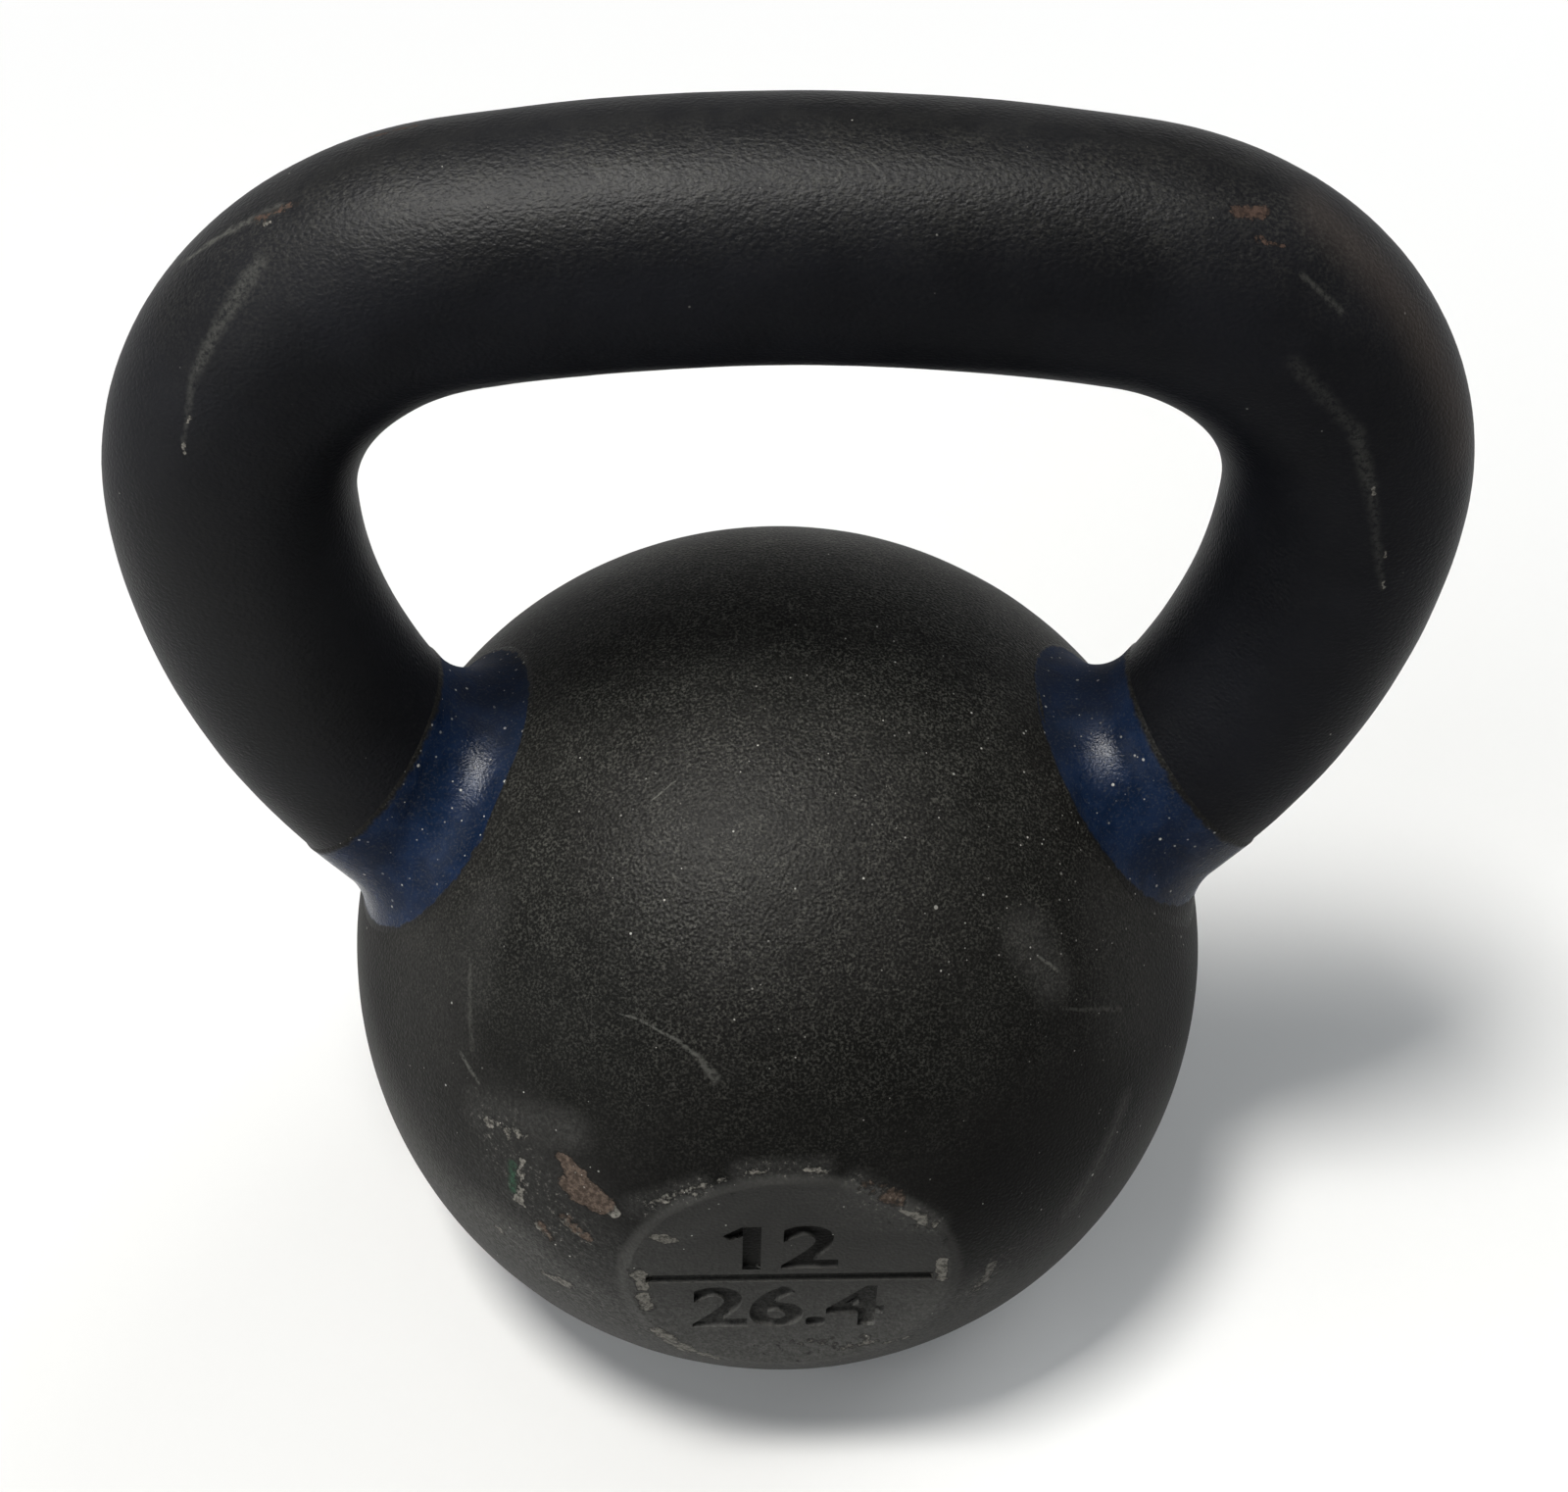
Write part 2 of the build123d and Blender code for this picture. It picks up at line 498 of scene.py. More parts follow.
def add_number(text, rise, sizes):
    """A plain number as a thick solid that stands across the front flat."""
    bpy.ops.object.select_all(action="DESELECT")
    bpy.ops.object.text_add()
    figures = bpy.context.object.data
    figures.body = text
    figures.align_x = "CENTER"
    figures.align_y = "CENTER"
    figures.size = NUMBER_SIZE * sizes.number_height
    figures.offset = NUMBER_OFFSET * sizes.number_height
    figures.resolution_u = NUMBER_CURVE_STEPS
    figures.extrude = sizes.mark_depth
    bpy.ops.object.convert(target="MESH")
    number = bpy.context.object
    low, high = extent(number)
    share = sizes.number_height / (high.y - low.y)
    centred = Matrix.Translation(-(low + high) / 2)
    widened = Matrix.Diagonal((NUMBER_WIDENING * share, share, 1, 1))
    placed = Matrix.Translation((0, -sizes.mark_flat_offset, sizes.ball_centre_height + rise))
    number.matrix_world = placed @ Matrix.Rotation(math.pi / 2, 4, "X") @ widened @ centred
    settle()
    with editing(number):
        bpy.ops.mesh.select_all(action="SELECT")
        bpy.ops.mesh.remove_doubles(threshold=MERGE_GAP)
        bpy.ops.mesh.normals_make_consistent(inside=False)
    embolden(number, sizes.number_boldness)
    return number


def embolden(number, growth):
    """Thickens a number's strokes: joins it with a copy beside it, and then with one above it."""
    for shift in (Vector((growth, 0, 0)), Vector((0, 0, growth))):
        pick(number)
        bpy.ops.transform.translate(value=-shift)
        settle()
        bpy.ops.object.duplicate()
        copy = bpy.context.object
        bpy.ops.transform.translate(value=2 * shift)
        settle()
        combine(number, copy, "UNION")
        bpy.data.objects.remove(copy)


def add_flag(number, sizes):
    """The flag of the 1 that a number starts with, as a solid that meets its stem."""
    low, high = extent(number)
    span = FLAG_SPAN * sizes.number_height
    width = FLAG_WIDTH * sizes.number_height
    reach = 0.5 * (span * math.sin(FLAG_SLOPE) + width * math.cos(FLAG_SLOPE))
    middle = low.x - FLAG_SHIFT * sizes.number_height
    bpy.ops.object.select_all(action="DESELECT")
    bpy.ops.mesh.primitive_cube_add(
        size=1,
        location=(middle, -sizes.mark_flat_offset, high.z - reach),
        rotation=(0, -FLAG_SLOPE, 0),
        scale=(span, FLAG_DEPTH * sizes.mark_depth, width),
    )
    settle()
    return bpy.context.object


def add_mark_cutters(sizes):
    """The weight mark as solids to cut away: plain numbers over and under a bar, and a flag."""
    upper = add_number("12", sizes.number_rise, sizes)
    lower = add_number("26.4", -sizes.number_rise, sizes)
    bpy.ops.object.select_all(action="DESELECT")
    bpy.ops.mesh.primitive_cube_add(
        size=1,
        location=(0, -sizes.mark_flat_offset, sizes.ball_centre_height),
        scale=(sizes.mark_bar_length, 2 * sizes.mark_depth, sizes.mark_bar_width),
    )
    bar = bpy.context.object
    settle()
    flag = add_flag(upper, sizes)
    pick(bar)
    upper.select_set(True)
    lower.select_set(True)
    bpy.ops.object.join()
    return bar, flag


def model_ball(sizes, handle):
    """The cast ball: flat base, front flat with the recessed mark, and a socket for each horn."""
    centre = Vector((0, 0, sizes.ball_centre_height))
    bpy.ops.object.select_all(action="DESELECT")
    bpy.ops.mesh.primitive_uv_sphere_add(
        segments=BALL_SEGMENTS,
        ring_count=BALL_RINGS,
        radius=sizes.ball_radius,
        location=centre,
        rotation=(math.pi / 2, 0, 0),
    )
    piece = bpy.context.object
    piece.name = "cast_ball"
    settle()
    roughen(piece, sizes.casting_waves, BALL_WAVE_LENGTH)
    flats = (
        (Vector((0, 0, -1)), sizes.ball_centre_height, sizes.base_rim_round),
        (Vector((0, -1, 0)), sizes.mark_flat_offset, sizes.mark_flat_rim_round),
    )
    with editing(piece):
        for outward, offset, rim_round in flats:
            cut_flat(centre, sizes.ball_radius, outward, offset, rim_round)
    cutters = add_mark_cutters(sizes)
    for cutter in (*cutters, handle):
        combine(piece, cutter, "DIFFERENCE")
    for cutter in cutters:
        bpy.data.objects.remove(cutter)
    return piece


def model_handle(sizes, bar):
    """The handle: one round bar spun through its three bends and mirrored."""
    bpy.ops.object.select_all(action="DESELECT")
    bpy.ops.mesh.primitive_circle_add(
        vertices=BAR_SIDES,
        radius=sizes.bar_radius,
        location=(0, 0, bar.height),
        rotation=(0, math.pi / 2, 0),
    )
    piece = bpy.context.object
    piece.name = "bar_handle"
    settle()
    with editing(piece):
        bpy.ops.mesh.select_all(action="SELECT")
        for centre, _, _, turn, steps in bar.bends:
            bpy.ops.mesh.spin(steps=steps, angle=-turn, center=centre, axis=(0, 1, 0))
        bpy.ops.mesh.edge_face_add()
        bpy.ops.mesh.select_all(action="SELECT")
        bpy.ops.mesh.remove_doubles(threshold=FINE_GAP)
        bpy.ops.mesh.normals_make_consistent(inside=False)
    apply_modifier(piece, "Mirror", "MIRROR", use_clip=True, merge_threshold=MERGE_GAP)
    roughen(piece, sizes.casting_waves, HANDLE_WAVE_LENGTH)
    return piece


def add_ring(piece, number, places):
    """In edit mode, adds one ring of a band, lays it on its places and returns its vertices."""
    bpy.ops.mesh.primitive_circle_add(vertices=BAND_SIDES)
    mesh = bmesh.from_edit_mesh(piece.data)
    mesh.verts.ensure_lookup_table()
    ring = range(number * BAND_SIDES, (number + 1) * BAND_SIDES)
    for index, place in zip(ring, places):
        mesh.verts[index].co = place
    bmesh.update_edit_mesh(piece.data)
    return ring


def select_rings(piece, *rings):
    """In edit mode, selects the edges that lie within one of these rings."""
    bpy.ops.mesh.select_mode(type="EDGE")
    bpy.ops.mesh.select_all(action="DESELECT")
    mesh = bmesh.from_edit_mesh(piece.data)
    for edge in mesh.edges:
        start, end = (vertex.index for vertex in edge.verts)
        edge.select_set(any(start in ring and end in ring for ring in rings))
    bmesh.update_edit_mesh(piece.data)


def band_places(sizes, bar, round_turn):
    """Places of one line down a band: a lip that runs into the horn, edge, neck, corner, foot,
    and the hidden ones inside."""
    skin = bar.radius + sizes.enamel_thickness
    core = bar.radius - CORE_SINK
    ball_skin = sizes.ball_radius - sizes.casting_waves / 2
    lip_distance = sizes.lip_distance + sizes.lip_margin
    edge_distance = sizes.lip_distance + EDGE_MARGIN * sizes.lip_margin
    lip_turn = bar.skin_turn_on_plane(skin, round_turn, sizes.lip_elevation, lip_distance)
    edge_turn = bar.skin_turn_on_plane(skin, round_turn, sizes.lip_elevation, edge_distance)
    corner_turn = bar.skin_turn_on_ball(skin, round_turn, ball_skin)
    corner = bar.skin_point(skin, round_turn, corner_turn)
    outward = (corner - bar.ball_centre).normalized()
    away = (corner - bar.skin_point(skin - PROBE_DEPTH, round_turn, corner_turn)).normalized()
    along_ball = (away - outward * away.dot(outward)).normalized()
    up_horn = Vector((math.sin(corner_turn), 0, math.cos(corner_turn)))
    reach = sizes.flare_radius / math.tan(up_horn.angle(along_ball) / 2)
    reach_turn = reach / bar.skin_reach(skin, round_turn)[0]
    neck_turn = max(corner_turn - reach_turn, edge_turn + LEAST_NECK_TURN)
    foot_lean = reach / ball_skin

    def on_ball(radius, lean):
        return bar.ball_centre + radius * (outward * math.cos(lean) + along_ball * math.sin(lean))

    return (
        bar.skin_point(bar.radius - LIP_SINK, round_turn, lip_turn),
        bar.skin_point(skin, round_turn, edge_turn),
        bar.skin_point(skin, round_turn, neck_turn),
        corner,
        on_ball(ball_skin, foot_lean),
        on_ball(ball_skin - FOOT_SINK, foot_lean + FOOT_RUN),
        bar.skin_point(core, round_turn, corner_turn + CORE_RUN),
        bar.skin_point(core, round_turn, lip_turn),
    )


def model_right_band(sizes, bar):
    """The right colour band: paint over the horn's root and the flare that runs into the ball."""
    turns = [2 * math.pi * step / BAND_SIDES for step in range(BAND_SIDES)]
    lines = [band_places(sizes, bar, turn) for turn in turns]
    bpy.ops.object.select_all(action="DESELECT")
    bpy.ops.mesh.primitive_circle_add(vertices=3)
    piece = bpy.context.object
    piece.name = "right_enamel_band"
    with editing(piece):
        bpy.ops.mesh.select_all(action="SELECT")
        bpy.ops.mesh.delete(type="VERT")
        rings = [add_ring(piece, number, places) for number, places in enumerate(zip(*lines))]
        for first, second in zip(rings, rings[1:] + rings[:1]):
            select_rings(piece, first, second)
            bpy.ops.mesh.bridge_edge_loops()
        select_rings(piece, rings[CORNER_RING])
        bpy.ops.mesh.bevel(
            offset_type="PERCENT", offset_pct=FLARE_SHARE, segments=FLARE_CUTS, affect="EDGES"
        )
    return piece


def mirror_band(right):
    """The left colour band: a copy of the right one, mirrored, with its own mesh."""
    pick(right)
    bpy.ops.object.duplicate()
    left = bpy.context.object
    left.name = "left_enamel_band"
    with editing(left):
        bpy.ops.mesh.select_all(action="SELECT")
        bpy.ops.transform.resize(value=(-1, 1, 1), center_override=(0, 0, 0))
    return left


class Nodes:
    """Adds nodes to a node tree and hands back an output, ready to link on."""

    def __init__(self, tree):
        self.tree = tree

    def add(self, kind, inputs=None, output=0, **settings):
        """One node with its settings, its inputs filled or linked by name or number."""
        node = self.tree.nodes.new("ShaderNode" + kind)
        for key, value in settings.items():
            setattr(node, key, value)
        for key, value in (inputs or {}).items():
            if isinstance(value, bpy.types.NodeSocket):
                self.tree.links.new(value, node.inputs[key])
            else:
                node.inputs[key].default_value = value
        return node.outputs[output] if node.outputs else None

    def noise(self, place, waves, detail, roughness, output=0):
        """Noise of this many waves a metre."""
        inputs = {"Vector": place, "Scale": waves, "Detail": detail, "Roughness": roughness}
        return self.add("TexNoise", inputs, output)

    def math(self, operation, first, second=0.0):
        """One sum on two numbers."""
        return self.add("Math", {0: first, 1: second}, operation=operation)

    def times(self, first, second):
        """Two numbers multiplied."""
        return self.math("MULTIPLY", first, second)

    def plus(self, first, second):
        """Two numbers added."""
        return self.math("ADD", first, second)

    def vector(self, operation, first, second=(0, 0, 0)):
        """One sum on two vectors."""
        return self.add("VectorMath", {0: first, 1: second}, operation=operation)

    def measure(self, operation, first, second=(0, 0, 0)):
        """One number out of two vectors."""
        return self.add("VectorMath", {0: first, 1: second}, "Value", operation=operation)

    def scaled(self, vector, amount):
        """A vector made longer or shorter."""
        return self.add("VectorMath", {0: vector, "Scale": amount}, operation="SCALE")

    def axes(self, vector):
        """The coordinates of a vector, by name."""
        return self.add("SeparateXYZ", {0: vector}).node.outputs

    def spread(self, value, low, high, new_low=0.0, new_high=1.0):
        """A number moved smoothly from one range to another, and kept inside it."""
        inputs = {"Value": value, "From Min": low, "From Max": high}
        inputs |= {"To Min": new_low, "To Max": new_high}
        return self.add("MapRange", inputs, interpolation_type="SMOOTHSTEP")

    def mix(self, factor, first, second):
        """Two colours mixed."""
        return self.add("Mix", {0: factor, 6: first, 7: second}, 2, data_type="RGBA")

    def between(self, factor, first, second):
        """Two numbers mixed."""
        return self.add("Mix", {0: factor, 2: first, 3: second}, data_type="FLOAT")

    def tones(self, pattern, low, high, shade, dark, pale=1.0):
        """A shade that a pattern varies between a dark and a pale share of itself."""
        first, second = (opaque(share * part for part in shade) for share in (dark, pale))
        return self.mix(self.spread(pattern, low, high), first, second)


def opaque(shade):
    """A colour with full cover."""
    return (*shade, 1.0)


def new_material(name):
    """An empty node material."""
    material = bpy.data.materials.new(name)
    material.use_nodes = True
    material.node_tree.nodes.clear()
    return material, Nodes(material.node_tree)


def add_mark_group():
    """Node group of one wear mark: a soft-edged stroke from one place on the surface to another.

    The stroke is measured square to the way that the surface faces, so that it follows the curve
    of the surface, and it ends a short reach behind it, so that it doesn't show on the far side.
    """
    tree = bpy.data.node_groups.new(WEAR_MARK, "ShaderNodeTree")
    for name in ("Place", "Start", "Span", "Pull", "Facing"):
        tree.interface.new_socket(name, in_out="INPUT", socket_type="NodeSocketVector")
    for name in ("Start Width", "Widening", "Edge"):
        tree.interface.new_socket(name, in_out="INPUT", socket_type="NodeSocketFloat")
    tree.interface.new_socket("Mask", in_out="OUTPUT", socket_type="NodeSocketFloat")
    nodes = Nodes(tree)
    given = tree.nodes.new("NodeGroupInput").outputs
    offset = nodes.vector("SUBTRACT", given["Place"], given["Start"])
    depth = nodes.measure("DOT_PRODUCT", offset, given["Facing"])
    flat = nodes.vector("SUBTRACT", offset, nodes.scaled(given["Facing"], depth))
    pull = nodes.measure("DOT_PRODUCT", flat, given["Pull"])
    share = nodes.math("MINIMUM", nodes.math("MAXIMUM", pull, 0.0), 1.0)
    nearest = nodes.scaled(given["Span"], share)
    gap = nodes.measure("LENGTH", nodes.vector("SUBTRACT", flat, nearest))
    width = nodes.plus(nodes.times(share, given["Widening"]), given["Start Width"])
    stroke = nodes.spread(gap, width, nodes.times(width, given["Edge"]))
    near = nodes.spread(nodes.math("ABSOLUTE", depth), *MARK_REACH)
    output = tree.nodes.new("NodeGroupOutput")
    tree.links.new(nodes.times(stroke, near), output.inputs["Mask"])


def ball_way(azimuth, elevation):
    """Direction from the ball's centre, by degrees round from the front towards +X and up."""
    turn = math.radians(azimuth)
    rise = math.radians(elevation)
    level = math.cos(rise)
    return Vector((level * math.sin(turn), -level * math.cos(turn), math.sin(rise)))


def ball_surface(sizes):
    """Finds points and outward normals on the ball, by degrees round from the front and up."""
    centre = Vector((0, 0, sizes.ball_centre_height))

    def place_at(azimuth, elevation):
        way = ball_way(azimuth, elevation)
        return centre + sizes.ball_radius * way, way

    return place_at


def bar_surface(bar):
    """Finds points and outward normals on the bar, by millimetres along it from the grip's middle
    towards +X and degrees round it from its outer side towards the front."""

    def place_at(along, round_turn):
        middle, outward = bar.frame_at(along / MILLIMETRES)
        turn = math.radians(round_turn)
        way = outward * math.cos(turn) + Vector((0, -1, 0)) * math.sin(turn)
        return middle + bar.radius * way, way

    return place_at


def strokes_mask(nodes, place, place_at, strokes, edge=0.0):
    """One inside any of the strokes on a surface, whose places place_at finds.

    A stroke is its two ends, its two widths in millimetres and its strength. The share of its width
    that the edge says is fully covered.
    """
    total = None
    for start, end, start_width, end_width, strength in strokes:
        first, _ = place_at(*start)
        last, _ = place_at(*end)
        _, facing = place_at(*((a + b) / 2 for a, b in zip(start, end)))
        span = last - first
        span -= facing * span.dot(facing)
        inputs = {
            "Place": place,
            "Start": first,
            "Span": span,
            "Pull": span / span.length_squared,
            "Facing": facing,
            "Start Width": start_width / 2 / MILLIMETRES,
            "Widening": (end_width - start_width) / 2 / MILLIMETRES,
            "Edge": edge,
        }
        mark = nodes.add("Group", inputs, node_tree=bpy.data.node_groups[WEAR_MARK])
        mask = nodes.times(mark, strength)
        total = mask if total is None else nodes.math("MAXIMUM", total, mask)
    return total


def wavered(nodes, place, noise, amount):
    """A place moved about by a noise, for ragged outlines."""
    shake = nodes.noise(place, *noise, output=1)
    shift = nodes.vector("SUBTRACT", shake, (NOISE_MIDDLE, NOISE_MIDDLE, NOISE_MIDDLE))
    return nodes.vector("ADD", place, nodes.scaled(shift, amount))


def specks(nodes, place, cells, size, share):
    """Small round specks of many sizes and covers, in a share of the cells of this many a metre."""
    gap = nodes.add("TexVoronoi", {"Vector": place, "Scale": cells}, "Distance")
    chance = nodes.add("SeparateColor", {"Color": gap.node.outputs["Color"]})
    spot = nodes.times(nodes.plus(chance.node.outputs["Green"], 0.35), size)
    dot = nodes.spread(gap, spot, nodes.times(spot, 0.55))
    chosen = nodes.math("LESS_THAN", chance, share)
    cover = nodes.spread(chance.node.outputs["Blue"], 0.0, 1.0, 0.25, 1.0)
    return nodes.times(dot, nodes.times(chosen, cover))


class Layers:
    """Colour, roughness and height in metres of a finish, layer on layer."""

    def __init__(self, nodes, colour_output, roughness, height):
        self.nodes = nodes
        self.colour = colour_output
        self.roughness = roughness
        self.height = height

    def cover(self, mask, shade, roughness):
        """Lays another finish over the mask."""
        self.colour = self.nodes.mix(mask, self.colour, shade)
        self.roughness = self.nodes.between(mask, self.roughness, roughness)

    def chip(self, density, breaks, shade, roughness):
        """Lays bare metal where a wear is dense, with ragged edges and a painted shade round it for
        depth.
        """
        nodes = self.nodes
        unevenness = nodes.times(nodes.math("SUBTRACT", breaks, NOISE_MIDDLE), CHIP_RAGGEDNESS)
        ragged = nodes.plus(density, unevenness)
        # Painted shade along the chip's edge, standing in for the shade of its depth
        edge = nodes.times(nodes.spread(ragged, 0.42, 0.52), CHIP_EDGE_SHADE_COVER)
        self.colour = nodes.mix(edge, self.colour, opaque(CHIP_EDGE_PAINTED_SHADE))
        self.cover(nodes.spread(ragged, 0.50, 0.72), shade, roughness)

    def strew(self, mask, dust):
        """Lays dust specks over the finish."""
        self.cover(mask, opaque(dust), DUST_ROUGHNESS)

    def shader(self, specular):
        """Ends the material with one shader."""
        nodes = self.nodes
        normal = nodes.add("Bump", {"Height": self.height, "Strength": 1.0, "Distance": 1.0})
        inputs = {
            "Base Color": self.colour,
            "Roughness": self.roughness,
            "Normal": normal,
            "Specular IOR Level": specular,
        }
        nodes.add("OutputMaterial", {"Surface": nodes.add("BsdfPrincipled", inputs)})


# Wear on the ball: ends in degrees round and up, widths in millimetres, strength
BALL_RUST = (
    ((-30.1, 17.0), (-24.8, 12.8), 2.6, 5.4, 1.0),
    ((-28.4, 13.2), (-25.2, 12.0), 4.2, 3.2, 1.0),
    ((9.2, 19.4), (13.2, 16.6), 3.0, 4.0, 0.62),
    ((-33.2, 4.9), (-31.0, 2.3), 2.2, 2.4, 0.60),
    ((-29.1, 7.6), (-25.7, 5.7), 2.4, 2.6, 0.62),
)
BALL_CHIPS = (
    ((-35.9, 13.4), (-35.5, 7.7), 1.5, 1.9, 0.78),
    ((-36.1, 6.4), (-35.4, 6.0), 1.9, 1.9, 0.9),
    ((-23.6, 12.6), (-22.6, 12.0), 3.0, 2.6, 1.0),
    ((-29.0, 7.2), (-26.4, 6.0), 2.4, 2.4, 0.74),
    ((-33.4, 4.2), (-31.6, 2.6), 2.0, 2.2, 0.72),
    ((-38.6, 16.0), (-36.4, 17.4), 2.6, 2.6, 0.62),
    ((-42.0, 15.6), (-40.6, 16.6), 2.4, 2.4, 0.66),
    ((-32.6, -7.5), (-29.0, -7.4), 2.6, 3.0, 0.80),
    ((-39.4, -2.9), (-39.1, -3.1), 1.8, 1.8, 1.0),
    ((-17.5, -12.0), (-13.7, -17.7), 2.8, 4.4, 0.80),
    ((-13.7, -17.7), (-9.3, -20.4), 4.2, 2.8, 0.76),
    ((13.7, 14.0), (15.5, 12.8), 1.8, 2.0, 0.80),
    ((15.5, 12.8), (17.4, 11.2), 2.0, 2.4, 0.78),
    ((24.8, -6.4), (26.2, -1.7), 2.8, 3.2, 0.76),
    ((-18.4, 14.6), (-12.2, 19.0), 2.4, 2.2, 0.52),
    ((-12.0, 19.0), (-9.0, 20.9), 1.6, 1.6, 0.58),
    ((-6.6, 21.9), (-3.0, 22.5), 1.6, 1.6, 0.60),
    ((0.6, 22.5), (4.4, 22.2), 1.6, 1.8, 0.56),
    ((6.6, 21.4), (9.6, 19.4), 1.8, 2.2, 0.56),
    ((12.4, -15.6), (18.3, -16.2), 2.0, 1.8, 0.60),
)
BALL_DUST = (
    ((-19.8, 13.7), (-11.8, 19.1), 4.4, 3.6, 0.32),
    ((-6.5, 22.0), (3.5, 22.6), 3.6, 3.6, 0.30),
    ((8.0, 20.0), (18.0, 11.0), 4.0, 4.0, 0.36),
    ((-43.0, 15.9), (-30.3, 21.1), 10.0, 7.0, 0.34),
    ((-38.0, 12.0), (-25.0, 3.0), 22.0, 22.0, 0.28),
    ((-62.0, -10.0), (-30.0, -12.0), 34.0, 28.0, 0.50),
    ((-38.0, -8.0), (-14.0, -20.0), 24.0, 18.0, 0.90),
    ((14.0, -16.0), (24.0, -8.0), 12.0, 12.0, 0.60),
    ((41.8, 42.5), (42.6, 36.2), 8.0, 7.0, 0.34),
    ((60.0, 36.0), (55.4, 25.0), 16.0, 18.0, 0.20),
    ((49.1, 12.7), (38.7, 1.1), 3.6, 4.4, 0.34),
    ((-60.6, 24.8), (-49.9, 8.5), 22.0, 18.0, 0.18),
    ((-52.5, 30.0), (-56.0, 40.0), 10.0, 8.0, 0.16),
    # These two strokes lighten the ball's left and right edges: dust and painted reflection of the
    # floor
    ((-84.0, 4.0), (-74.0, -10.0), 20.0, 28.0, 0.28),
    ((86.0, 4.0), (76.0, -10.0), 20.0, 28.0, 0.30),
    ((150.0, 30.0), (176.0, 6.0), 34.0, 44.0, 0.16),
    ((-150.0, -6.0), (-118.0, 16.0), 36.0, 30.0, 0.18),
)
BALL_SPECKS = (
    ((40.0, 66.0), (58.0, 34.0), 46.0, 44.0, 1.0),
    ((15.0, 50.0), (40.0, 40.0), 40.0, 40.0, 0.55),
    ((-43.0, 15.9), (-28.0, 8.0), 22.0, 22.0, 1.0),
    ((-19.0, 14.0), (15.0, 20.0), 10.0, 10.0, 0.8),
    ((46.0, 12.0), (40.0, 0.0), 14.0, 14.0, 0.8),
    ((-34.0, 60.0), (-20.0, 66.0), 24.0, 24.0, 0.35),
)
BALL_FLECKS = (
    ((-40.5, 15.5), (-29.0, 5.0), 10.0, 11.0, 0.75),
    ((-34.0, -4.0), (-16.0, -16.0), 10.0, 9.0, 0.50),
    ((-19.8, 13.7), (-11.8, 19.1), 3.4, 2.8, 1.0),
    ((-6.5, 22.0), (3.5, 22.6), 2.8, 2.8, 1.0),
    ((8.0, 20.0), (18.0, 11.0), 3.0, 3.0, 1.0),
    ((24.0, -6.0), (27.0, -1.0), 6.0, 6.0, 0.80),
)
BALL_SCUFFS = (
    ((-26.9, 38.3), (-23.6, 38.4), 0.4, 0.6, 0.60),
    ((-23.6, 38.4), (-17.8, 37.5), 0.6, 0.8, 0.55),
    ((-17.8, 37.5), (-14.1, 35.8), 0.8, 1.2, 0.55),
    ((-14.1, 35.8), (-11.2, 33.6), 1.4, 2.4, 0.45),
    ((-39.2, 62.6), (-36.3, 66.1), 0.4, 0.3, 1.0),
    ((-53.3, 32.6), (-47.4, 23.8), 1.2, 1.6, 0.26),
    ((-49.0, 21.9), (-44.8, 20.2), 1.4, 1.0, 0.60),
    ((41.9, 39.7), (44.0, 36.6), 0.7, 0.9, 0.90),
    ((42.2, 32.0), (52.3, 25.5), 0.8, 1.4, 0.30),
    ((38.7, 1.1), (49.1, 12.7), 1.0, 0.7, 0.45),
)
FLAT_CHIPS = (
    ((-16.9, 9.2), (-14.8, 8.8), 4.4, 3.4, 1.0),
    ((-19.0, 1.0), (-18.6, -2.0), 5.0, 4.0, 1.0),
    ((-18.8, -3.6), (-18.3, -6.4), 4.4, 5.0, 1.0),
    ((19.1, 3.4), (19.4, -0.6), 3.6, 4.0, 1.0),
)
BALL_PATINA = (((-37.2, 11.9), (-36.9, 7.6), 2.2, 2.2, 0.85),)


def painted(ways, radius, strokes):
    """How dense a wear is at each vertex, from its strongest stroke: half at the stroke's edge."""
    density = numpy.zeros(len(ways))
    for start, end, start_width, end_width, strength in strokes:
        first, last = (numpy.array(ball_way(*place)) for place in (start, end))
        span = last - first
        share = numpy.clip((ways - first) @ span / (span @ span), 0, 1)
        gap = numpy.linalg.norm(ways - first - share[:, None] * span, axis=1) * radius
        width = (start_width + share * (end_width - start_width)) / 2 / MILLIMETRES
        density = numpy.maximum(density, strength * numpy.clip(1.5 - gap / width, 0, 1))
    return density


